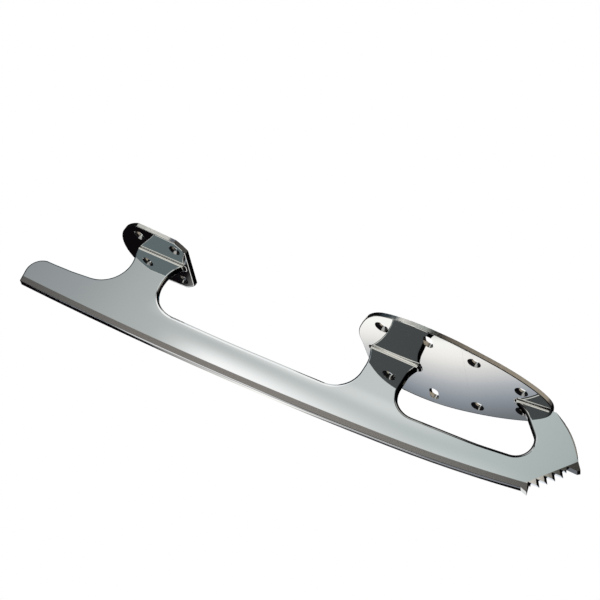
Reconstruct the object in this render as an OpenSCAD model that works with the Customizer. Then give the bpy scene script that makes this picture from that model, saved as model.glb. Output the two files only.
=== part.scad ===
// Figure skate blade for the right or left boot, in millimetres.
// +X points to the toe, +Z up to the boot, and -Y is the outer side.
// The origin is the centre of the heel plate's top face, where the boot heel rests.

/* [Runner] */
// Thickness of the steel blank
blade_t = 4.0; // [3:0.1:5]
// Depth of the lowest point of the edge below the heel seat
edge_depth = 51.4; // [49:0.1:58]
// Radius of the main rocker, seen from the side
rocker_r = 2438; // [1800:1:3000]
// Distance of the rocker's lowest point ahead of the heel seat's centre
rocker_x = 25; // [10:1:45]
// Radius of the tighter curve under the ball of the foot
spin_r = 700; // [500:10:1500]
// Place where the tighter curve begins
spin_x = 165; // [140:1:190]
// Radius of the hollow ground along the bottom
hollow_r = 12.7; // [9:0.1:25]
// Height of the tail's top edge below the heel seat
tail_top = 32.5; // [30:0.5:36]
// Rearmost line of the tail, behind the heel seat's centre
tail_reach = 62.4; // [55:0.5:70]

/* [Heel plate] */
// Radius of the rounded rear of the heel plate
heel_rear_r = 24.5; // [23.5:0.1:28]
// Distance from the heel seat's centre to the straight front
heel_front = 18.7; // [17:0.1:24]
// Half width of the plate where the rounded rear begins
heel_half_w = 21.9; // [20:0.1:23]
// Narrowing of each side toward the front
heel_taper = 1.4; // [0:0.1:3]
// Radius of the two front corners
heel_corner_r = 5; // [2:0.5:8]
// Offset of the plate and its holes to the outer side
heel_shift = 0.6; // [0:0.1:1.5]

/* [Sole plate] */
// Height of the plate's level rear top above the heel seat
sole_lift = 0.9; // [0:0.1:3]
// Place where the plate begins to curve up
bend_x = 140; // [136:1:150]
// Radius of the upward curve, on the underside
bend_r = 480; // [350:10:600]
// Final slope of the front part, in degrees
rise_deg = 5.86; // [4:0.01:7]
// Factor on the width of the plate
sole_width = 1.0; // [0.95:0.01:1.15]

/* [Plates and holes] */
// Thickness of both plates
plate_t = 2.5; // [2:0.1:3.5]
// Diameter of the screw holes
hole_d = 4.6; // [3.5:0.1:5]
// Diameter of the countersinks in the sole plate
sink_d = 7.8; // [6:0.1:9]
// Diameter of the countersinks in the heel plate
heel_sink_d = 7.0; // [6:0.1:8]
// Spacing of the heel holes along the blade
heel_hole_dx = 22.4; // [18:0.1:24]
// Spacing of the heel holes across the blade
heel_hole_dy = 27.2; // [24:0.1:29]
// Width of the slots, along the blade
slot_w = 5.2; // [4.5:0.1:6]
// Length of the slots, across the blade
slot_l = 9.8; // [8:0.1:12]

/* [Braze] */
// Radius of the braze fillet under each plate
braze_r = 1.0; // [0.6:0.1:1.5]
// Thickness of the fillet's thin outer lip
braze_lip = 0.05; // [0.03:0.01:0.1]

/* [Toe picks] */
// Distance between neighbouring small teeth
tooth_pitch = 4.2; // [3.8:0.1:4.4]
// Height of the small teeth
tooth_h = 3.5; // [2.8:0.1:4]
// Distance of each tooth's tip ahead of the notch that follows it
tooth_lean = 1.1; // [0.6:0.1:1.6]
// Slant of the cuts between the teeth, seen along their height, in degrees
tooth_skew = 20.6; // [0:0.1:22]
// Height of the last, short tooth below the top pick
nub_h = 1.8; // [1.4:0.1:2]

/* [Hidden] */
steel = [0.74, 0.76, 0.77];
plate_steel = [0.66, 0.69, 0.71];
braze_metal = [0.82, 0.80, 0.74];
through = 10;
below = 1.6;
heel_under = -plate_t;
sole_under = sole_lift - plate_t;

// Centres of the two rocker arcs and their common point
arc_1 = [rocker_x, rocker_r - edge_depth];
spin_ang = asin((spin_x - rocker_x) / rocker_r);
arc_2 = arc_1 + (rocker_r - spin_r) * [sin(spin_ang), -cos(spin_ang)];

// Height of the ground edge at x
function edge_z(x) = x < arc_2[0] + spin_r * sin(spin_ang)
    ? arc_1[1] - sqrt(pow(rocker_r, 2) - pow(x - arc_1[0], 2))
    : arc_2[1] - sqrt(pow(spin_r, 2) - pow(x - arc_2[0], 2));

// Toe picks, at heights above the level of the edge's lowest point:
// the first notch, the direction of the rake and the tooth direction
notch = [236.9, 16.4 - edge_depth];
rake_deg = 51.3;
rake = [cos(rake_deg), sin(rake_deg)];
outward = [sin(rake_deg), -cos(rake_deg)];
function along_out(a, o) = notch + a * rake + o * outward;
teeth = 4;
last_a = teeth * tooth_pitch + 3.0;
drag_tip = [238.4, 10.5 - edge_depth];
drag_root = drag_tip[0] - 3.6;

// The slanted cuts shift the teeth by this much at each face of the blank
skew_shift = blade_t / 2 * tan(tooth_skew);
spare = 0.15;
gap_slope = (tooth_pitch - tooth_lean) / tooth_h;
drag_slope = ((drag_tip - notch) * rake) / ((drag_tip - notch) * outward);
gap_out = (skew_shift + spare) / (gap_slope - drag_slope);

// One rounded corner at q between p and s, with the radius in q[2]
function xy(p) = [p[0], p[1]];
function unit(v) = v / norm(v);
function turned(a, b) = b - a > 180 ? b - 360 : b - a < -180 ? b + 360 : b;
function corner(p, q, s) =
    let (u = unit(xy(p) - xy(q)), v = unit(xy(s) - xy(q)))
    let (half = acos(max(-1, min(1, u * v))) / 2)
    let (run = q[2] / tan(half), mid = xy(q) + unit(u + v) * q[2] / sin(half))
    let (a = xy(q) + u * run - mid, b = xy(q) + v * run - mid)
    let (a0 = atan2(a[1], a[0]), a1 = turned(a0, atan2(b[1], b[0])))
    let (n = max(2, ceil(abs(a1 - a0) / 5)))
    [for (i = [0:n]) mid + q[2] * [cos(a0 + (a1 - a0) * i / n), sin(a0 + (a1 - a0) * i / n)]];
function rounded(pts) = [for (i = [0:len(pts) - 1])
    let (q = pts[i], p = pts[(i + len(pts) - 1) % len(pts)], s = pts[(i + 1) % len(pts)])
    each (q[2] == 0 ? [xy(q)] : corner(p, q, s))];

// A closed smooth line through the points, with n steps between neighbours
function blend(a, b, c, d, t) = 0.5 * (2 * b + (c - a) * t + (2 * a - 5 * b + 4 * c - d) * t * t
    + (3 * b - a - 3 * c + d) * t * t * t);
function smooth(pts, n) = [for (i = [0:len(pts) - 1], j = [0:n - 1])
    let (m = len(pts))
    blend(pts[(i + m - 1) % m], pts[i], pts[(i + 1) % m], pts[(i + 2) % m], j / n)];

// Rear and front of each upright where it meets its plate
heel_top = [-14.6, 15.1];
rear_top = [129.5, 158.0];
front_top = [210.2, 228.0];

// Middle of the heel plate's round rear and the place where its sides turn in
heel_round_x = heel_front - 19.3;
heel_side_x = -6;

// Corners of the blank, from the tail over the top to the toe: x, z, radius
back_line = [
    [-tail_reach + 1.8, -edge_depth - below, 0],
    [-tail_reach - 1.5, -tail_top, 9],
    [-38.5, -tail_top, 190],
    [-7.1, 3.8 - tail_top, 16.5],
    [heel_top[0], heel_under, 0],
    [heel_top[1], heel_under, 0],
    [10.2, heel_under - 6.6, 15],
    [10.2, -32.3, 16.6],
    [60, -32.5, 600],
    [132.8, -30.8, 14.3],
    [132.8, sole_under - 7, 20],
    [128.6, sole_under + 2, 0]];
window_line = [
    [158.9, sole_under + 2.3, 0],
    [155.2, sole_under - 6, 12],
    [155.2, -29.9, 13],
    [205, -27.8, 120],
    [229.2, -25.0, 8.8],
    [229.3, -13.2, 8.4],
    [218.4, -1.8, 22],
    [206.9, 4.5, 0]];
toe_line = [
    [229.4, 7.6, 0],
    [229.4, 6.2, 0],
    [245.4, -0.6, 47],
    [253.4, 36.5 - edge_depth, 0],
    [256.35, 32.9 - edge_depth, 0.3],
    [255.0, 31.8 - edge_depth, 0]];

// The small teeth start as one block, and the slanted cuts divide it
pick_line = [
    along_out(last_a, 0),
    along_out(last_a - nub_h / 2, nub_h),
    along_out(last_a - 2.5, nub_h),
    along_out(last_a - 2.5, tooth_h),
    along_out(tooth_h * gap_slope - skew_shift - spare, tooth_h),
    along_out(drag_slope * gap_out, gap_out),
    drag_tip];
sole_line = [
    [drag_root, edge_z(drag_root)],
    [drag_root - 3, edge_z(drag_root - 3) - below],
    [spin_x, edge_z(spin_x) - below],
    [rocker_x, -edge_depth - below]];
sharp_line = [for (p = concat(pick_line, sole_line)) [p[0], p[1], 0]];
blank = rounded(concat(back_line, window_line, toe_line, sharp_line));

// Side profile of the sole plate: the underside, offset by d along its normal
bend_steps = 8;
function bend(d) = [for (i = [0:bend_steps])
    let (a = rise_deg * i / bend_steps)
    [bend_x, sole_under] + [(bend_r - d) * sin(a), bend_r - (bend_r - d) * cos(a)]];
nose_x = 245;
function under(d) =
    let (last = bend(d)[bend_steps])
    concat([[110, sole_under + d]], bend(d), [[nose_x, last[1] + (nose_x - last[0]) * tan(rise_deg)]]);
function under_z(x) = lookup(x, under(0));

// Outline of the sole plate from above, wider on the outer side
sole_edge = [[123.3, -9], [125.2, -18.1], [131.3, -29.8], [141.0, -36.3], [158, -38.6],
    [176.5, -36.3], [192.4, -31.0], [207.8, -24.2], [220.2, -16.2], [227.6, -8.2],
    [229.1, -0.5], [226.6, 7.9], [217.1, 15.8], [201.3, 22.6], [184.7, 27.2], [167.4, 30.3],
    [150, 30.3], [137.3, 27.8], [130.4, 21.3], [127.0, 12.7], [125.0, 1]];

// Screw holes of the sole plate: x, y of the middle, spacing across the blade
rear_pair = [138.2, -4.2, 41.6];
slot_pair = [164.6, -4.1, 49.2];
mid_pair = [189.3, -3.0, 41.4];
front_pair = [213.6, -1.1, 19.0];

module side(t) {
    rotate([90, 0, 0])
        linear_extrude(t, center = true)
            children();
}

// Everything above the sole plate's underside
module above_sole(t) {
    side(t)
        polygon(concat(under(0), [[nose_x, 30], [110, 30]]));
}

// One stretch of the hollow, around a rocker arc
module hollow(centre, r, from, upto) {
    mid_r = r + sqrt(pow(hollow_r, 2) - pow(blade_t / 2, 2));
    translate([centre[0], 0, centre[1]])
        rotate([90, 0, 0])
            rotate([0, 0, from - 90])
                rotate_extrude(angle = upto - from, $fn = 1440)
                    translate([mid_r, 0])
                        circle(hollow_r, $fn = 180);
}

// One slanted cut between two teeth, from its notch at a; lean is its rear side's slope
module tooth_gap(a, lean) {
    deep = 6;
    squeeze = cos(tooth_skew);
    root = along_out(a, 0);
    translate([root[0], 0, root[1]])
        rotate([0, -rake_deg, 0])
            rotate([0, 0, -tooth_skew])
                side(4 * blade_t)
                    polygon([[0, 0], [-lean * deep * squeeze, -deep],
                        [gap_slope * deep * squeeze, -deep]]);
}

module blade_blank() {
    difference() {
        side(blade_t)
            polygon(blank);
        above_sole(blade_t + 2);
        tooth_gap(0, 0.55);
        for (i = [1:teeth])
            tooth_gap(i * tooth_pitch, tooth_lean / tooth_h);
    }
}

module runner() {
    from_tail = asin((-tail_reach - 10 - arc_1[0]) / rocker_r);
    to_pick = asin((drag_root - arc_2[0]) / spin_r);
    color(steel)
        difference() {
            blade_blank();
            hollow(arc_1, rocker_r, from_tail, spin_ang);
            hollow(arc_2, spin_r, spin_ang, to_pick);
        }
}

// A screw hole along +Z, sunk from below at height z
module sunk_hole(x, y, z, d) {
    deep = (d - hole_d) / 2;
    translate([x, y, z - through / 2])
        cylinder(through, d = hole_d, $fn = 48);
    translate([x, y, z - 1])
        cylinder(1, d = d, $fn = 48);
    translate([x, y, z])
        cylinder(deep, d1 = d, d2 = hole_d, $fn = 48);
}

// Round rear, tapering sides and a straight front with rounded corners
module heel_outline() {
    intersection() {
        translate([heel_round_x, 0])
            circle(heel_rear_r, $fn = 120);
        polygon(rounded([
            [-40, -heel_half_w - 1, 0],
            [heel_side_x, -heel_half_w, 30],
            [heel_front, heel_taper - heel_half_w, heel_corner_r],
            [heel_front, heel_half_w - heel_taper, heel_corner_r],
            [heel_side_x, heel_half_w, 30],
            [-40, heel_half_w + 1, 0]]));
    }
}

module heel_plate() {
    color(plate_steel)
        translate([0, -heel_shift, 0])
            difference() {
                translate([0, 0, heel_under])
                    linear_extrude(plate_t)
                        heel_outline();
                for (x = [-0.5, 0.5], y = [-0.5, 0.5])
                    sunk_hole(x * heel_hole_dx, y * heel_hole_dy, heel_under, heel_sink_d);
            }
}

// Two holes across the blade
module pair(p) {
    slope = (under_z(p[0] + 1) - under_z(p[0] - 1)) / 2;
    for (y = [-0.5, 0.5])
        sunk_hole(p[0], p[1] + y * p[2], under_z(p[0]) - slope * sink_d / 2 + 0.1, sink_d);
}

module slot(x, y) {
    reach = (slot_l - slot_w) / 2;
    translate([x, y, under_z(x) - through / 2])
        linear_extrude(through)
            union() {
                square([slot_w, 2 * reach], center = true);
                for (s = [-1, 1])
                    translate([0, s * reach])
                        circle(d = slot_w, $fn = 48);
            }
}

module sole_plate() {
    color(plate_steel)
        difference() {
            intersection() {
                side(200)
                    polygon(concat(under(0), [for (p = [bend_steps + 2:-1:0]) under(plate_t)[p]]));
                translate([0, 0, -20])
                    linear_extrude(50)
                        scale([1, sole_width])
                            polygon(smooth(sole_edge, 5));
            }
            pair(rear_pair);
            pair(mid_pair);
            pair(front_pair);
            for (y = [-0.5, 0.5])
                slot(slot_pair[0], slot_pair[1] + y * slot_pair[2]);
        }
}

// Braze ring round an upright that meets a plate between x0 and x1
module braze_ring(x0, x1, z, slope, front_end) {
    long = x1 - x0;
    reach = braze_r + braze_lip;
    half = blade_t / 2 + reach;
    translate([x0, 0, z])
        rotate([0, -slope, 0])
            difference() {
                translate([-reach, -half, -reach])
                    cube([long + (1 + front_end) * reach, 2 * half, reach + 1]);
                for (y = [-half, half])
                    translate([-5, y, -reach])
                        rotate([0, 90, 0])
                            cylinder(long + 10, r = braze_r, $fn = 48);
                translate([-reach, 0, -reach])
                    rotate([90, 0, 0])
                        cylinder(4 * half, r = braze_r, center = true, $fn = 48);
                if (front_end > 0)
                    translate([long + reach, 0, -reach])
                        rotate([90, 0, 0])
                            cylinder(4 * half, r = braze_r, center = true, $fn = 48);
            }
}

module heel_braze() {
    color(braze_metal)
        difference() {
            braze_ring(heel_top[0], heel_top[1], heel_under, 0, 1);
            translate([-30, -10, heel_under])
                cube([60, 20, 5]);
            blade_blank();
        }
}

module sole_rear_braze() {
    color(braze_metal)
        difference() {
            braze_ring(rear_top[0], rear_top[1], sole_under, 0.5, 1);
            above_sole(20);
            blade_blank();
        }
}

module sole_front_braze() {
    color(braze_metal)
        difference() {
            braze_ring(front_top[0], front_top[1], under_z(front_top[0]), rise_deg, 0);
            above_sole(20);
            blade_blank();
        }
}

runner();
heel_plate();
sole_plate();
heel_braze();
sole_rear_braze();
sole_front_braze();
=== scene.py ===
# %% [markdown]
# # A figure skate blade in mirror chrome
# The blade is a steel runner with a hollow-ground edge, two plates that are screwed to the boot, and
# the fillets of braze that join them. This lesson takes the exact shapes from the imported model,
# breaks their sharp edges as the polishing wheel does, lays the braze with Geometry Nodes, gives each
# surface its finish, and lights it as a product photographer lights chrome. A mirror has no colour
# of its own: it shows only the cards that stand around it, so most of the likeness lies in where the
# cards are.

# %% Load the exact model
import math

import bmesh
import bpy
from mathutils import Matrix, Vector


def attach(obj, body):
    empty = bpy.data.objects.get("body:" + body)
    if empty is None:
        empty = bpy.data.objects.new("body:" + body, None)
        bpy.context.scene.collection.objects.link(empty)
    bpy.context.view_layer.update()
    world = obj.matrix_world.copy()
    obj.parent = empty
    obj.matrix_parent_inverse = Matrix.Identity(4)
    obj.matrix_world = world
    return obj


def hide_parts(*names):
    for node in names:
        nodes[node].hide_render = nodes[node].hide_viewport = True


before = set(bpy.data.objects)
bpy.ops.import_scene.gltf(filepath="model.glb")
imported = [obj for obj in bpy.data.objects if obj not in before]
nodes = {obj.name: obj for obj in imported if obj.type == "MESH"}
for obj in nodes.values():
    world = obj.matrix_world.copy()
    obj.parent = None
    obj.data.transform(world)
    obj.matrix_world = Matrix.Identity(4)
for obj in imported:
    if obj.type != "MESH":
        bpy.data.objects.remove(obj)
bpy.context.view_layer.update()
print("nodes:", sorted(nodes))

# %% [markdown]
# ## The camera
# The blade is seen from below and a little from the toe. The camera's place, aim and focal length
# were measured from the photograph, from the plates' flat faces and the runner's straight lines.
# It comes first because every card is placed by what the chrome shows to this camera.

# %% Camera
CAMERA_AT = (0.45154, -0.82050, -0.42383)
RIGHT = Vector((0.85315883, 0.11769479, 0.5082007))
DOWN = Vector((0.36690016, 0.55713467, -0.74497331))
FORWARD = Vector((-0.37081571, 0.82203948, 0.43214212))
FOCAL_PIXELS, PHOTO_PIXELS, SENSOR_WIDTH = 1902.366, 600.0, 36.0
lens = bpy.data.cameras.new("camera")
camera = bpy.data.objects.new("camera", lens)
bpy.context.scene.collection.objects.link(camera)
turn = Matrix((RIGHT, -DOWN, -FORWARD)).transposed()
camera.matrix_world = Matrix.Translation(CAMERA_AT) @ turn.to_4x4()
lens.sensor_width = SENSOR_WIDTH
lens.lens = FOCAL_PIXELS * SENSOR_WIDTH / PHOTO_PIXELS
lens.clip_start, lens.clip_end = 0.05, 10.0
lens.dof.use_dof = False
bpy.context.scene.camera = camera
bpy.context.scene.view_settings.view_transform = "Standard"
print(f"focal length {lens.lens:.1f} mm")

# %% [markdown]
# ## The shape of the edge, in numbers
# The bottom of the blade is an arc of 2438 mm radius that tightens to 700 mm under the ball of the
# foot. The ground band on the sides follows that arc at a constant height, and the small teeth of the
# toe stand on a straight rake line. Both are used twice, to choose edges for rounding and to paint
# masks, so they are written once here, in a form that works on plain numbers and on shader sockets.

# %% Distances in millimetres
MM = 1000.0  # millimetres in a metre
ROCKER_R, ROCKER_X, EDGE_DEPTH = 2438.0, 25.0, 51.4
SPIN_R, SPIN_X = 700.0, 165.0
NOTCH = (236.9, -35.0)
RAKE = math.radians(51.3)


def above_edge(x, z, larger=max):
    """How far a point lies above the ground edge."""
    far = x - ROCKER_X
    tight = larger(x - SPIN_X, 0.0)
    return (z + EDGE_DEPTH - far * far * (0.5 / ROCKER_R)
            - tight * tight * (0.5 / SPIN_R - 0.5 / ROCKER_R))


def beyond_rake(x, z):
    """How far a point lies outside the line through the notches between the teeth."""
    return (x - NOTCH[0]) * math.sin(RAKE) - (z - NOTCH[1]) * math.cos(RAKE)


def along_rake(x, z):
    """How far up the row of teeth a point lies, from the first notch."""
    return (x - NOTCH[0]) * math.cos(RAKE) + (z - NOTCH[1]) * math.sin(RAKE)


print("edge height at the tail:", round(-above_edge(-60.0, 0.0), 2))

# %% [markdown]
# ## Breaking the sharp edges
# A blank comes off the press with sharp corners, and the polishing wheel rounds them before plating.
# A soft wheel drags over the flat side as well, so the rounding is wide on the side and shallow
# toward the wall. The exact model keeps its edges sharp, so each visible piece is a copy of its node,
# merged into clean faces, with a Bevel modifier on the edges that the wheel reaches. The copy is
# stretched across its thickness while it is bevelled and then pressed back, which makes the rounding
# oval, and a Weighted Normal modifier keeps the flat sides true mirrors.

# %% A copy with rounded edges
SAME_POINT = 2e-6
FLAT_JOINT, SHARP_CORNER = math.radians(0.2), math.radians(24)
ROUNDING_STEPS = 4


def rounded_copy(name, wide, deep, axis, reached):
    """Stands in for a node, its edges rounded wide on the flat sides and deep across axis, in mm."""
    bm = bmesh.new()
    bm.from_mesh(nodes[name].data)
    bmesh.ops.remove_doubles(bm, verts=bm.verts, dist=SAME_POINT)
    bmesh.ops.dissolve_limit(bm, angle_limit=FLAT_JOINT, verts=bm.verts, edges=bm.edges)
    weight = bm.edges.layers.float.new("bevel_weight_edge")
    chosen = 0
    for edge in bm.edges:
        edge.smooth = len(edge.link_faces) == 2 and edge.calc_face_angle(0.0) < SHARP_CORNER
        if not edge.smooth and len(edge.link_faces) == 2:
            edge[weight] = reached(edge)
            chosen += edge[weight] > 0.0
    for face in bm.faces:
        face.smooth = True
    mesh = bpy.data.meshes.new(name + "_polished")
    bm.to_mesh(mesh)
    bm.free()
    piece = bpy.data.objects.new(name + "_polished", mesh)
    bpy.context.scene.collection.objects.link(piece)
    mesh.transform(Matrix.Scale(wide / deep, 4, axis))
    bevel = piece.modifiers.new("broken edges", "BEVEL")
    bevel.limit_method, bevel.width, bevel.segments = "WEIGHT", wide / MM, ROUNDING_STEPS
    bevel.use_clamp_overlap = False
    settle(piece)
    piece.data.transform(Matrix.Scale(deep / wide, 4, axis))
    level = piece.modifiers.new("flat faces stay flat", "WEIGHTED_NORMAL")
    level.keep_sharp = True
    settle(piece)
    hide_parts(name)
    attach(piece, "root")
    print(f"{name}: {chosen} edges rounded, {len(piece.data.polygons)} faces")
    return piece


def settle(piece):
    """Turns what the modifiers make into the piece's own mesh, and removes them."""
    graph = bpy.context.evaluated_depsgraph_get()
    made = bpy.data.meshes.new_from_object(piece.evaluated_get(graph))
    piece.modifiers.clear()
    piece.data = made


# %% [markdown]
# ## Where the wheel reaches
# A wheel can't follow a blade into every corner, so each edge takes a share of the full rounding. The
# ground edge, the cut teeth and the places where a plate sits stay sharp. Tail and toe are touched
# lightly, the upper edges and the window more. On the plates it takes the lower rim all round and the
# upper rim on the near side, and it leaves the holes sharp. The shares were set by how wide the lines
# along the edges are in the photograph.

# %% Shares of the full rounding
RUNNER_ROUNDING, PLATE_ROUNDING = (1.8, 0.75), (1.4, 0.5)
ACROSS_RUNNER, ACROSS_PLATE = Vector((0, 1, 0)), Vector((0, 0, 1))
STONE_REACH, SEAT_FROM = 0.4, -4.0
TAIL_TO, WINDOW_FROM, TOE_FROM, TEETH_FROM = 0.0, 150.0, 225.0, 233.0
HEEL_MIDDLE_Y, HOLE_REACH = -0.6, 5.4
SOLE_PAIRS = ((138.2, -4.2, 41.6), (164.6, -4.1, 49.2), (189.3, -3.0, 41.4), (213.6, -1.1, 19.0))
HOLES = [(x, y + HEEL_MIDDLE_Y) for x in (-11.2, 11.2) for y in (-13.6, 13.6)]
HOLES += [(x, y + side * gap / 2) for x, y, gap in SOLE_PAIRS for side in (-1, 1)]


def mid(edge):
    """Middle of an edge in millimetres."""
    return (edge.verts[0].co + edge.verts[1].co) * (MM / 2)


def is_side(face):
    """True for a face of the runner's two flat sides."""
    return abs(face.normal.y) > 0.99


def wheel_on_runner(edge):
    """None on ground edge, teeth and plate contacts, less at tail and toe, most round the window."""
    at = mid(edge)
    walls = [f for f in edge.link_faces if not is_side(f)]
    if len(walls) != 1 or above_edge(at.x, at.z) < STONE_REACH:
        return 0.0
    if walls[0].normal.z > 0.9 and at.z > SEAT_FROM:
        return 0.0
    if at.x > TEETH_FROM and beyond_rake(at.x, at.z) > -0.1:
        return 0.0
    if at.x < TAIL_TO or (at.x > TOE_FROM and walls[0].normal.x > 0.2):
        return 0.4
    return 0.9 if at.x > WINDOW_FROM else 0.5 + 0.5 * max(walls[0].normal.z, 0.0)


def wheel_on_plate(edge):
    """All of the lower rim, and the upper rim only where it faces the near side; no holes."""
    at = mid(edge)
    flats = [f for f in edge.link_faces if abs(f.normal.z) > 0.9]
    walls = [f for f in edge.link_faces if abs(f.normal.z) < 0.5]
    to_hole = min(math.hypot(at.x - x, at.y - y) for x, y in HOLES)
    if len(flats) != 1 or len(walls) != 1 or to_hole < HOLE_REACH:
        return 0.0
    if flats[0].normal.z < 0:
        return 0.55 + 0.45 * max(walls[0].normal.y, 0.0)
    return max(-0.45 * walls[0].normal.y, 0.0)


runner = rounded_copy("runner", *RUNNER_ROUNDING, ACROSS_RUNNER, wheel_on_runner)
heel_plate = rounded_copy("heel_plate", *PLATE_ROUNDING, ACROSS_PLATE, wheel_on_plate)
sole_plate = rounded_copy("sole_plate", *PLATE_ROUNDING, ACROSS_PLATE, wheel_on_plate)

# %% [markdown]
# ## The bend of the sole plate
# The sole plate is level at its rear and is bent up toward the toe over a round form. The mesh has the
# bend as a row of narrow flat strips, and a mirror would show every strip. The corners of those faces
# are told the direction of the arc itself, which makes the reflection run on and moves no point.

# %% Directions that follow the bend
BEND_R, BEND_X, RISE = 480.0, 140.0, math.radians(5.86)
SOLE_UNDER, PLATE_T = -1.6, 2.5
ON_THE_FACE = 0.03


def above_bend(at):
    """Millimetres above the underside of the sole plate, and the lean of the plate there."""
    x, z = at.x * MM, at.z * MM - SOLE_UNDER
    lean = math.asin(min(max((x - BEND_X) / BEND_R, 0.0), math.sin(RISE)))
    foot = Vector((BEND_X + BEND_R * math.sin(lean), BEND_R * (1.0 - math.cos(lean))))
    if x < BEND_X:
        foot.x = x
    return (z - foot.y) * math.cos(lean) - (x - foot.x) * math.sin(lean), lean


def true_bend(piece):
    """Gives the broad faces the direction of the bend itself, so that no facet shows."""
    mesh = piece.data
    directions = [Vector(n.vector) for n in mesh.corner_normals]
    turned = 0
    for face in mesh.polygons:
        places = [above_bend(mesh.vertices[v].co) for v in face.vertices]
        for level, sign in ((0.0, 1.0), (PLATE_T, -1.0)):
            if all(abs(height - level) < ON_THE_FACE for height, lean in places):
                for corner, (height, lean) in zip(face.loop_indices, places):
                    directions[corner] = Vector((math.sin(lean), 0.0, -math.cos(lean))) * sign
                    turned += 1
    mesh.normals_split_custom_set(directions)
    print("sole plate:", turned, "corners follow the bend")


true_bend(sole_plate)

# %% [markdown]
# ## Node trees as sums
# A mask such as "within 3 mm of the edge" is a sum on coordinates. Wrapping a node's output in a small
# class lets Python's own operators add the Math nodes, so a mask reads like the sum that it is. One
# more method adds any other node, in shader trees and in Geometry Nodes trees alike.


# %% A wire that can be used in sums
class Wire:
    """An output of a node that takes part in arithmetic with other wires and plain numbers."""

    def __init__(self, tree, out=None):
        self.tree, self.out = tree, out

    def node(self, kind, settings=None, values=None, out=0):
        """Adds a node: first its settings, then values or wires for its inputs, by name or number."""
        made = self.tree.nodes.new(kind)
        settings = dict(settings or {})
        stops = settings.pop("stops", None)
        for key, value in settings.items():
            setattr(made, key, value)
        if stops:
            band = made.color_ramp
            while len(band.elements) < len(stops):
                band.elements.new(0.5)
            for element, (at, colour) in zip(band.elements, stops):
                element.position, element.color = at, (*colour, 1.0)
        for key, value in (values or {}).items():
            if isinstance(value, Wire):
                self.tree.links.new(value.out, made.inputs[key])
            else:
                made.inputs[key].default_value = value
        return Wire(self.tree, made.outputs[out])

    def other(self, name):
        """Another output of the same node."""
        return Wire(self.tree, self.out.node.outputs[name])

    def into(self, socket):
        """Joins this wire to a socket of a node that is already there."""
        self.tree.links.new(self.out, socket)

    def maths(self, operation, *values):
        """A Math node; the operators below call it."""
        return self.node("ShaderNodeMath", {"operation": operation}, dict(enumerate(values)))

    def __add__(self, other):
        return self.maths("ADD", self, other)

    def __radd__(self, other):
        return self.maths("ADD", other, self)

    def __sub__(self, other):
        return self.maths("SUBTRACT", self, other)

    def __rsub__(self, other):
        return self.maths("SUBTRACT", other, self)

    def __mul__(self, other):
        return self.maths("MULTIPLY", self, other)

    def __rmul__(self, other):
        return self.maths("MULTIPLY", other, self)

    def __truediv__(self, other):
        return self.maths("DIVIDE", self, other)

    def larger(self, other):
        return self.maths("MAXIMUM", self, other)

    def rise(self, low, high):
        """0 up to low and 1 from high on, with a soft change between them."""
        return self.node("ShaderNodeMapRange", {"interpolation_type": "SMOOTHSTEP"},
                         {0: self, 1: low, 2: high, 3: 0.0, 4: 1.0})

    def fall(self, low, high):
        """1 up to low and 0 from high on."""
        return 1.0 - self.rise(low, high)

    def ramp(self, low, high, stops):
        """A colour from stops of (value, colour) between low and high."""
        span = high - low
        stops = [((at - low) / span, colour) for at, colour in stops]
        return self.node("ShaderNodeValToRGB", {"stops": stops}, {0: (self - low) / span})

    def mix(self, first, second):
        """The first colour where this mask is 0 and the second where it is 1."""
        ends = [c if isinstance(c, Wire) else (*c, 1.0) for c in (first, second)]
        return self.node("ShaderNodeMix", {"data_type": "RGBA"},
                         {0: self, 6: ends[0], 7: ends[1]}, 2)


print("a Wire adds its own Math nodes")

# %% [markdown]
# ## The braze
# Filler metal runs round the top of each upright and sets as a smooth hollow fillet between it and the
# plate, which is then chromed over. It follows a path, the upright's outline, so Geometry Nodes sweep
# a fillet's section along that outline. One tree makes all three, each with its own length, place and
# slope. The toe's upright ends flush with the nose of its plate, so its path is left open there.

# %% A tree that sweeps a fillet round an upright
ARC_POINTS, CORNER_POINTS = 8, 8
CORNER = 1.2  # radius of the path's corners, as a share of the bite


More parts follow.
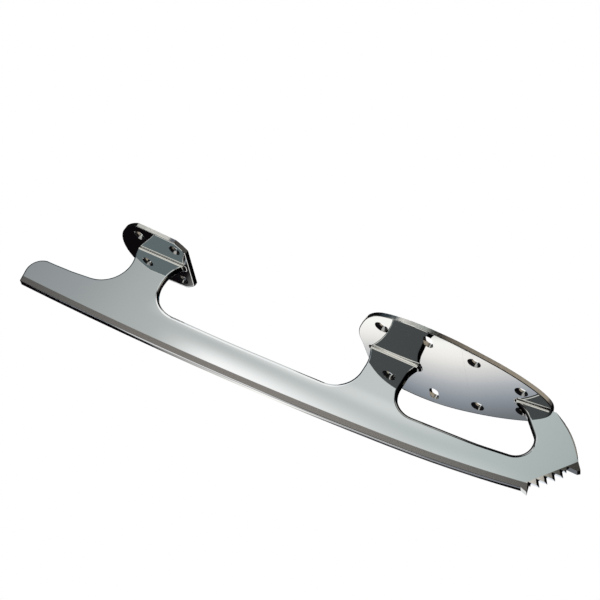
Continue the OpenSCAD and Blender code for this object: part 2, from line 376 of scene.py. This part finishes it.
def braze_tree():
    """The upright's outline as a path, with a hollow section swept along it."""
    tree = bpy.data.node_groups.new("braze fillet", "GeometryNodeTree")
    for name, kind, value in (
            ("Length", "Float", 0.03), ("Thickness", "Float", 0.004), ("Fillet", "Float", 0.001),
            ("Bite", "Float", 0.0008), ("Closed", "Bool", True), ("Start", "Vector", (0, 0, 0)),
            ("Slope", "Vector", (0, 0, 0)), ("Finish", "Material", None)):
        made = tree.interface.new_socket(name, in_out="INPUT", socket_type="NodeSocket" + kind)
        if value is not None:
            made.default_value = value
    tree.interface.new_socket("Geometry", in_out="OUTPUT", socket_type="NodeSocketGeometry")
    wire = Wire(tree)
    given = wire.node("NodeGroupInput")
    fillet, bite = given.other("Fillet"), given.other("Bite")

    # The path: the upright's outline at the plate, with small round corners
    path = wire.node("GeometryNodeCurvePrimitiveQuadrilateral", None,
                     {"Width": given.other("Length"), "Height": given.other("Thickness")})
    path = wire.node("GeometryNodeSetSplineCyclic", None,
                     {"Geometry": path, "Cyclic": given.other("Closed")})
    path = wire.node("GeometryNodeFilletCurve", {"mode": "POLY"},
                     {"Curve": path, "Radius": bite * CORNER, "Count": CORNER_POINTS})
    path = wire.node("GeometryNodeSetCurveNormal", {"mode": "Z_UP"}, {"Curve": path})

    # The section: an arc hollowed between upright and plate, closed by three points inside the steel
    ring = wire.node("GeometryNodeCurvePrimitiveCircle", None,
                     {"Resolution": ARC_POINTS + 4, "Radius": 0.001})
    index = wire.node("GeometryNodeInputIndex")
    turn = index.maths("MINIMUM", index, float(ARC_POINTS)) * (math.pi / 2 / ARC_POINTS)
    buried, upper, last = (
        index.maths("GREATER_THAN", index, ARC_POINTS + n) for n in (0.5, 1.5, 2.5))
    across = ((1.0 - buried) * fillet * (1.0 - turn.maths("SINE", turn))
              + buried * (last * (fillet + bite) - bite))
    depth = ((1.0 - buried) * fillet * (1.0 - turn.maths("COSINE", turn))
             + buried * (fillet - upper * (fillet + bite)))
    point = wire.node("ShaderNodeCombineXYZ", None, {0: across, 1: depth, 2: 0.0})
    section = wire.node("GeometryNodeSetPosition", None, {"Geometry": ring, "Position": point})

    bead = wire.node("GeometryNodeCurveToMesh", None,
                     {"Curve": path, "Profile Curve": section, "Fill Caps": True})
    bead = wire.node("GeometryNodeTransform", None,
                     {"Geometry": bead, "Translation": given.other("Start"),
                      "Rotation": given.other("Slope")})
    bead = wire.node("GeometryNodeRealizeInstances", None, {"Geometry": bead})
    bead = wire.node("GeometryNodeSetMaterial", None,
                     {"Geometry": bead, "Material": given.other("Finish")})
    bead.into(tree.nodes.new("NodeGroupOutput").inputs["Geometry"])
    return tree


fillet_tree = braze_tree()
print("braze tree:", len(fillet_tree.nodes), "nodes")

# %% [markdown]
# ## Three fillets from one tree
# A fillet catches light that the flats don't, so it is read as a pale band under each plate. Its
# radius is 1.25 mm here, a little more than the 1.0 mm of the exact model, and was chosen.
# Each fillet stands at the underside of its plate, and the one at the toe leans with the plate.

# %% Lay the braze
FILLET = 0.00125
SHARP_BEAD = math.radians(40)
braze_metal = bpy.data.materials.new("chromed braze")


def lay_braze(name, sizes):
    """One fillet of braze in place of its node; sizes are the tree's inputs by name."""
    mesh = bpy.data.meshes.new(name + "_fillet")
    piece = bpy.data.objects.new(name + "_fillet", mesh)
    bpy.context.scene.collection.objects.link(piece)
    sweep = piece.modifiers.new("sweep", "NODES")
    sweep.node_group = fillet_tree
    sockets = {s.name: s.identifier for s in fillet_tree.interface.items_tree
               if s.in_out == "INPUT"}
    for key, value in sizes.items():
        sweep[sockets[key]] = value
    settle(piece)
    piece.data.shade_smooth()
    piece.data.set_sharp_from_angle(angle=SHARP_BEAD)
    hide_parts(name)
    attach(piece, "root")
    low = [min(v.co[n] for v in piece.data.vertices) * MM for n in range(3)]
    high = [max(v.co[n] for v in piece.data.vertices) * MM for n in range(3)]
    print(name, "from", [round(v, 2) for v in low], "to", [round(v, 2) for v in high])


for name, length, start, more in (
        ("heel_braze", 0.0297, (0.00025, 0.0, -0.0025), {}),
        ("sole_rear_braze", 0.0285, (0.14375, 0.0, -0.0016), {}),
        ("sole_front_braze", 0.0178, (0.2191, 0.0, 0.0040),
         {"Closed": False, "Slope": (0.0, -RISE, 0.0)})):
    lay_braze(name, {"Length": length, "Fillet": FILLET, "Start": start, **more,
                     "Finish": braze_metal})

# %% [markdown]
# ## The runner's finish
# Chrome is a bright metal with almost no roughness, and its look comes from small departures: a
# softer spot here and there, and the warm steel that shows where a stone or a file has cut the
# plating away. The stone leaves a dull band a few millimetres high along the edge, and the relief on
# the teeth is bare as well. The bands could be pieces of their own with plain metals, but their
# borders would be seams. Here each is a mask on one metal, made from the distances above.
#
# Two colours are painted reflections. Two colours are guesses that stand in for reflections. Up the
# row of teeth the relief is painted from cream to dark grey, a painted reflection. The walls inside
# the window and on the fronts of the two rear uprights are painted a nearly black metal, a painted
# black reflection. The walls inside the window and on the fronts of the two rear uprights are black
# there, and it can't be told whether they are dull or mirror something black.


# %% Where a point lies and which way it faces
def place(tree):
    """x, y and z of the surface in millimetres, as wires."""
    spot = Wire(tree).node("ShaderNodeTexCoord", out=3)
    split = Wire(tree).node("ShaderNodeSeparateXYZ", None, {0: spot})
    return [split.other(axis) * MM for axis in "XYZ"]


def normal_of(tree):
    """The surface's direction as three wires."""
    facing = Wire(tree).node("ShaderNodeTexCoord", out=1)
    split = Wire(tree).node("ShaderNodeSeparateXYZ", None, {0: facing})
    return [split.other(axis) for axis in "XYZ"]


def grain(tree, scale, detail=2.0, stretch=(1.0, 1.0, 1.0)):
    """Noise from 0 to 1 with features of about 1 / scale metres, stretched along the axes."""
    spot = Wire(tree).node("ShaderNodeTexCoord", out=3)
    at = Wire(tree).node("ShaderNodeMapping", None, {0: spot, 3: stretch})
    return Wire(tree).node("ShaderNodeTexNoise", None,
                           {"Vector": at, "Scale": scale, "Detail": detail})


def larger(a, b):
    """The larger of two wires, in the form that above_edge takes."""
    return a.larger(b)


print("a mask starts from:", [helper.__name__ for helper in (place, normal_of, grain)])

# %% Chrome with cut steel
CHROME = (0.93, 0.945, 0.945)
CUT_STEEL = (0.40, 0.36, 0.335)
# Nearly black paint on the walls, a painted black reflection
PAINTED_BLACK_REFLECTION = (0.02, 0.02, 0.023)
SMOOTH = 0.03
STONE_BAND = (3.1, 3.4)
# The teeth's relief, cream to dark grey up the row: a painted reflection
TEETH_PAINTED_REFLECTION = [
    (0.0, (0.98, 0.92, 0.86)), (5.0, (0.93, 0.86, 0.78)), (8.0, (0.75, 0.68, 0.60)),
    (13.0, (0.42, 0.38, 0.34)), (22.0, (0.27, 0.24, 0.21))]


def metal(name, colour, roughness):
    """A new metal material, its tree and its main shader node."""
    made = bpy.data.materials.new(name)
    made.use_nodes = True
    shader = made.node_tree.nodes["Principled BSDF"]
    shader.inputs["Metallic"].default_value = 1.0
    shader.inputs["Base Color"].default_value = (*colour, 1.0)
    shader.inputs["Roughness"].default_value = roughness
    return made, made.node_tree, shader


def runner_finish():
    """Mirror chrome with the stone's band, and painted reflections on the teeth's relief and the
    walls.
    """
    made, tree, shader = metal("runner chrome", CHROME, SMOOTH)
    x, _, z = place(tree)
    nx, ny, _ = normal_of(tree)
    level = ny.maths("ABSOLUTE", ny)
    side = level.rise(0.8, 0.95)
    height = above_edge(x, z, larger)

    # The steel that stone and file have laid bare, and a painted reflection on the teeth's relief
    band = height.fall(*STONE_BAND) * side
    relief = beyond_rake(x, z).rise(-0.1, 0.15) * x.rise(232.0, 233.0) * side
    cut = band.larger(relief)
    lines = grain(tree, 1500.0, 1.0, (1.0, 0.05, 0.08))
    bare_steel_and_painted_reflection = along_rake(x, z).ramp(0.0, 22.0, TEETH_PAINTED_REFLECTION)
    bare_steel_and_painted_reflection = (relief * (1.0 - band)).mix(CUT_STEEL, bare_steel_and_painted_reflection)

    # The window's walls and the fronts of the rear sole and heel uprights: a painted black reflection
    window = level.fall(0.975, 0.9985) * x.rise(146.0, 152.0) * (x + z * 0.35).fall(231.0, 233.0)
    front = x.rise(128.0, 130.0) * x.fall(165.0, 168.0) * nx.rise(0.0, 0.15)
    front = front.larger(x.rise(10.0, 12.0) * x.fall(60.0, 75.0) * nx.rise(0.1, 0.3))
    painted_black_reflection_mask = window.larger(level.fall(0.93, 0.985) * front) * height.rise(8.0, 9.0)
    cut.mix(painted_black_reflection_mask.mix(CHROME, PAINTED_BLACK_REFLECTION), bare_steel_and_painted_reflection).into(shader.inputs["Base Color"])
    haze = grain(tree, 25.0, 3.0) * 0.02 + 0.02
    (cut * (lines * 0.04 + 0.20) + haze).into(shader.inputs["Roughness"])

    # The relief of the first teeth is tilted a little toward the tail, so that it catches the light
    lean = relief * (1.0 - band) * along_rake(x, z).fall(5.0, 14.0) * -0.16
    push = lean.node("ShaderNodeCombineXYZ", None, {0: lean, 2: lean * 0.2})
    facing = push.node("ShaderNodeNewGeometry", out=1)
    leant = push.node("ShaderNodeVectorMath", {"operation": "ADD"}, {0: facing, 1: push})
    leant = push.node("ShaderNodeVectorMath", {"operation": "NORMALIZE"}, {0: leant})
    leant.into(shader.inputs["Normal"])
    return made


def wear(piece, finish):
    """Gives a piece one finish all over."""
    piece.data.materials.clear()
    piece.data.materials.append(finish)


wear(runner, runner_finish())
print("runner finish:", len(runner.data.materials[0].node_tree.nodes), "nodes")

# %% [markdown]
# ## The plates' and the braze's finish
# A plate is sheared from sheet, and its rim keeps fine lines across it under the plating, while its
# countersinks stay a little rough from the drill. The rims are mostly warm, and their dark front end
# is a painted reflection. That may be a reflection, and it is painted here. A braze fillet isn't
# polished as well as a flat, so it is a shade rougher.

# %% Chrome with sheared rims
WARM_CHROME = (0.95, 0.92, 0.86)
# The rims' front end, painted dark: a painted reflection
PAINTED_RIM_REFLECTION = (0.22, 0.23, 0.25)
BRAZE = (0.93, 0.93, 0.90)


def plate_finish(name, dark_from):
    """Chrome with a lined rim and, from dark_from on in mm along the blade, a painted dark reflection.
    """
    made, tree, shader = metal(name, CHROME, SMOOTH)
    x = place(tree)[0]
    nz = normal_of(tree)[2]
    flat = nz.maths("ABSOLUTE", nz)
    rim = flat.fall(0.35, 0.5)
    sunk = flat.rise(0.4, 0.5) * flat.fall(0.8, 0.9)
    lines = grain(tree, 900.0, 1.0, (1.0, 1.0, 0.03))
    # The warm rim, with a painted dark reflection from dark_from on
    warm_rim_and_painted_reflection = x.rise(dark_from, dark_from + 2.0).mix(WARM_CHROME, PAINTED_RIM_REFLECTION)
    rim.mix(CHROME, warm_rim_and_painted_reflection).into(shader.inputs["Base Color"])
    haze = grain(tree, 25.0, 3.0) * 0.02
    (rim * (lines * 0.2 + 0.05) + sunk * 0.15 + haze + 0.02).into(shader.inputs["Roughness"])
    return made


def braze_finish(made):
    """Chromed filler metal, a shade warmer and rougher than the plates."""
    made.use_nodes = True
    tree = made.node_tree
    shader = tree.nodes["Principled BSDF"]
    shader.inputs["Metallic"].default_value = 1.0
    shader.inputs["Base Color"].default_value = (*BRAZE, 1.0)
    (grain(tree, 120.0, 2.0) * 0.10 + 0.04).into(shader.inputs["Roughness"])


wear(heel_plate, plate_finish("heel plate chrome", 8.0))
wear(sole_plate, plate_finish("sole plate chrome", 226.0))
braze_finish(braze_metal)
print("finishes:", [m.name for m in bpy.data.materials])

# %% [markdown]
# ## The studio
# Each flat face of the blade is a mirror that shows one patch of the room to the camera. The upright
# side shows a card in front of the blade, the undersides of the plates and the hollow show a card
# behind and below, and what is seen twice, first in a plate and then in the runner, is a card in
# front and low down. A card glows by itself, is left out of the camera's own view, and takes either
# one colour or a function that paints it from its place in the room in millimetres. Lamps and a plain
# world could light the blade as well, but a mirror would show them as they are, and a card can be
# placed where one face needs it. The cost is that the cards suit this one view, and that from other
# sides the chrome shows little but a dark room.

# %% Cards around the blade
FRONT_Y, BACK_Y, SIDE_X, FLOOR_Z, CEILING_Z = -0.8, 1.6, 1.8, -0.8, 1.2


def srgb(r, g, b):
    """Screen values from 0 to 255 as linear light."""
    return tuple(c / 3294.6 if c <= 10 else ((c / 255 + 0.055) / 1.055) ** 2.4 for c in (r, g, b))


def card(name, corners, light):
    """A flat glowing card; light is a colour, or a function of x, y and z that gives one."""
    mesh = bpy.data.meshes.new(name)
    mesh.from_pydata(corners, [], [tuple(range(len(corners)))])
    made = bpy.data.objects.new(name, mesh)
    bpy.context.scene.collection.objects.link(made)
    paint = bpy.data.materials.new(name)
    paint.use_nodes = True
    tree = paint.node_tree
    tree.nodes.remove(tree.nodes["Principled BSDF"])
    colour = light(*place(tree)) if callable(light) else (*light, 1.0)
    glow = Wire(tree).node("ShaderNodeEmission", None, {"Color": colour})
    glow.into(tree.nodes["Material Output"].inputs["Surface"])
    mesh.materials.append(paint)
    made.visible_camera = False
    print(f"{name}: {len(corners)} corners, {len(tree.nodes)} nodes")


def wall(x0, x1, y, z0, z1):
    """Corners of an upright card that faces along the room."""
    return [(x0, y, z0), (x1, y, z0), (x1, y, z1), (x0, y, z1)]


def ground(x0, x1, y0, y1, z=FLOOR_Z):
    """Corners of a card that lies flat."""
    return [(x0, y0, z), (x1, y0, z), (x1, y1, z), (x0, y1, z)]


print(f"room: {BACK_Y - FRONT_Y:.1f} m front to back, {CEILING_Z - FLOOR_Z:.1f} m high")

# %% [markdown]
# ## The card in front
# The runner's flat side shows the middle of this card, its tail the part near x = -560 mm and its toe
# the part near x = 30 mm. The greys run between them as they do in the photograph, with soft white
# patches for the runner's middle. The rounded upper edges tilt the view upward. They show what stands
# above that: a black gap, a white margin and a slanted boundary of light and black, which draw the
# thin lines along the edges. Where an edge tilts further still, between the two rear uprights, it
# shows the ceiling card.

# %% Paint for the front card
WHITE = (1.0, 1.0, 1.0)
BLACK_CLOTH = srgb(12, 10, 12)
DARK_CLOTH = srgb(20, 18, 20)
TAN = srgb(152, 145, 134)


def front_light(x, y, z):
    """Greys along the room, white patches in the middle, and black, white and tan above them."""
    along = x.ramp(-700.0, 900.0, [
        (-700.0, srgb(28, 40, 48)), (-610.0, srgb(90, 105, 112)), (-590.0, srgb(138, 143, 145)),
        (-500.0, srgb(153, 158, 159)), (-440.0, srgb(170, 175, 174)),
        (-380.0, srgb(180, 185, 184)), (-250.0, srgb(188, 193, 192)),
        (-150.0, srgb(190, 196, 195)), (-95.0, srgb(186, 193, 192)), (-10.0, srgb(180, 189, 188)),
        (56.0, srgb(170, 179, 178)), (75.0, DARK_CLOTH), (900.0, DARK_CLOTH)])

    # White patches below and above the line that the runner's middle shows
    sunk = z - (x + 100.0).larger(0.0) * 0.09
    low = (sunk.fall(320.0, 341.0) * x.rise(-400.0, -310.0)
           * (1.0 - x.rise(-300.0, -90.0) * 0.75) * x.fall(-40.0, 60.0))
    low = low * z.rise(280.0, 296.0)
    high = (z.rise(341.0, 353.0) * x.rise(-425.0, -350.0)
            * (1.0 - x.rise(-235.0, -185.0) * 0.7) * x.fall(-130.0, -20.0))
    high = high * (1.0 - z.rise(356.0, 364.0) * 0.75)
    margin = z.rise(415.0, 425.0) * x.fall(-155.0, -135.0) * x.rise(-430.0, -400.0)
    board = low.larger(high).larger(margin).mix(along, WHITE)

    # What the rounded upper edges show
    gap = (z.rise(406.0, 412.0) * z.fall(440.0, 452.0)
           * x.rise(-385.0, -365.0) * x.fall(-175.0, -155.0))
    board = gap.mix(board, BLACK_CLOTH)
    over = x + (z - 400.0) * 0.26
    sky = over.ramp(-700.0, 0.0, [
        (-700.0, srgb(40, 52, 60)), (-435.0, srgb(52, 68, 78)), (-412.0, srgb(112, 130, 140)),
        (-400.0, srgb(246, 246, 246)), (-205.0, srgb(244, 244, 244)), (-175.0, BLACK_CLOTH),
        (0.0, BLACK_CLOTH)])
    high_up = (z.rise(452.0, 466.0) * over.fall(-180.0, -160.0)).larger(z.rise(436.0, 450.0))
    board = high_up.mix(board, sky)
    brown = z.rise(396.0, 410.0) * x.rise(150.0, 220.0)
    return brown.mix(board, TAN)


card("front_card", wall(-2.2, 1.8, FRONT_Y, 0.1, 1.2), front_light)
card("ceiling_card", [
    (x, y, CEILING_Z) for x, y in ((-0.78, FRONT_Y), (-0.47, FRONT_Y), (-0.375, -0.1),
                                   (-0.375, 0.3), (-0.46, 0.8), (-0.71, BACK_Y), (-0.9, BACK_Y))
], srgb(196, 199, 200))

# %% [markdown]
# ## The card behind and below
# The plates' undersides look down and back. The photograph shows the heel plate black, and the sole
# plate cream white that turns to blue grey toward its near rim. One sum of x and y gives the order of
# the greys, and a second one says how much of that light is there. The small card far off shows in the
# hollow under the tail.

# %% Paint for the floor card
PITCH = (0.004, 0.003, 0.004)
JUST_ABOVE_FLOOR = -0.798


def floor_light(x, y, z):
    """Cream to blue grey along a slant, dimmed to black on the heel's side, with one pale streak."""
    slant = y + x * 0.5
    light = slant.ramp(1240.0, 1900.0, [
        (1240.0, srgb(254, 252, 248)), (1268.0, srgb(246, 243, 240)),
        (1285.0, srgb(236, 233, 230)), (1303.0, srgb(218, 217, 215)),
        (1330.0, srgb(194, 194, 196)), (1342.0, srgb(178, 181, 186)),
        (1362.0, srgb(160, 165, 171)), (1385.0, srgb(141, 147, 155)),
        (1425.0, srgb(113, 117, 122)), (1480.0, srgb(105, 108, 113)),
        (1900.0, srgb(125, 128, 135))])
    far_left = slant.rise(1480.0, 1900.0) * x.fall(-420.0, -300.0)
    light = far_left.mix(light, srgb(225, 225, 225))
    near_right = slant.fall(1200.0, 1238.0) * x.rise(-380.0, -240.0)
    light = near_right.mix(light, srgb(76, 76, 80))
    strip = y.fall(1298.0, 1318.0) * x.rise(-230.0, -170.0)
    light = strip.mix(light, srgb(60, 60, 63))
    closest = x.ramp(-200.0, -80.0, [
        (-200.0, srgb(236, 236, 242)), (-130.0, srgb(200, 200, 206)), (-80.0, srgb(120, 114, 118))])
    light = y.fall(900.0, 1000.0).mix(light, closest)

    # How much of that light is there: none on the heel's side, all of it on the toe's
    reach = (x + y * 0.45).ramp(-200.0, 200.0, [
        (-200.0, PITCH), (-104.0, PITCH), (-80.0, (0.2, 0.2, 0.2)), (15.0, (0.6, 0.6, 0.6)),
        (100.0, WHITE)])
    across = x + y * 0.53
    beyond = across.rise(-10.0, 70.0) * (1.0 - y.rise(2200.0, 2400.0) * across.rise(460.0, 560.0))
    reach = y.rise(1640.0, 1720.0).mix(reach, beyond.mix(PITCH, WHITE))
    line = x + (y - 1507.0) * 0.33
    streak = (line.rise(-812.0, -805.0) * line.fall(-801.0, -795.0)
              * y.rise(1488.0, 1500.0) * y.fall(1536.0, 1552.0))
    reach = streak.mix(reach, srgb(205, 222, 236))
    return light.node("ShaderNodeMix", {"data_type": "RGBA", "blend_type": "MULTIPLY"},
                      {0: 1.0, 6: light, 7: reach}, 2)


card("floor_card", ground(-2.6, 0.05, 0.6, 4.5), floor_light)
card("far_floor_card", ground(-1.78, -1.5, 2.8, 3.15, JUST_ABOVE_FLOOR), srgb(172, 182, 194))

# %% [markdown]
# ## The smaller cards
# The low card in front is seen twice, in a plate's underside and then in the runner's side. The card
# under the blade shows in the fillets and countersinks. The others fill small places that would be
# black without them: the rim card round the rear sole upright, the tan card at the side on the nose of
# the sole plate and in the holes, and the pale backdrop on the teeth. The white and the blue backdrop
# show in a few pixels only.


# %% Paint for the low cards, and the backdrops
def near_floor(x, y, z):
    """A dark grey strip that is seen twice, and pale above and below it."""
    twice = x.ramp(-500.0, -100.0, [
        (-500.0, srgb(100, 110, 113)), (-320.0, srgb(98, 107, 110)), (-250.0, srgb(75, 78, 79)),
        (-100.0, srgb(70, 73, 74))])
    pale = z.rise(-335.0, -315.0).larger(z.fall(-560.0, -530.0))
    return pale.mix(twice, srgb(215, 214, 208))


def under_light(x, y, z):
    """Pale toward the front, grey nearer to the blade."""
    return y.fall(-530.0, -490.0).mix(srgb(160, 158, 156), srgb(228, 228, 222))


card("near_floor_card", wall(-0.9, 0.1, FRONT_Y, -0.9, 0.1), near_floor)
card("under_card", ground(-0.75, 0.1, FRONT_Y, -0.3), under_light)
card("backdrop", wall(-1.3, -0.62, BACK_Y, 0.2, 1.2), WHITE)
card("toe_backdrop", wall(-0.45, -0.15, BACK_Y, 0.7, 1.1), srgb(70, 104, 122))
card("rim_card", ground(-0.175, -0.05, -0.3, 0.6), srgb(235, 232, 225))
card("side_card", [(SIDE_X, y, z) for y, z in ((FRONT_Y, 0.4), (1.3, 0.4), (1.3, 1.3),
                                               (FRONT_Y, 1.3))], TAN)
card("teeth_backdrop", wall(-0.28, 0.1, BACK_Y, -0.05, 0.4), srgb(225, 230, 238))

# %% [markdown]
# ## A white room for the camera, a dark one for the chrome
# The camera sees white behind the blade, as in the photograph. The chrome doesn't: between the cards
# it shows a nearly black room, because the photograph's chrome has black in it that a white room
# can't give. The price is a blade that looks almost wholly black from behind and from above.

# %% The room
DARK_ROOM = srgb(14, 13, 15)


def room():
    """White for camera and transmission rays, and nearly black for all others."""
    world = bpy.data.worlds.new("room")
    bpy.context.scene.world = world
    world.use_nodes = True
    tree = world.node_tree
    rays = Wire(tree).node("ShaderNodeLightPath")
    seen = rays.other("Is Camera Ray").larger(rays.other("Is Transmission Ray"))
    seen.mix(DARK_ROOM, WHITE).into(tree.nodes["Background"].inputs["Color"])
    tree.nodes["Background"].inputs["Strength"].default_value = 1.0


room()
print("world:", bpy.context.scene.world.name)
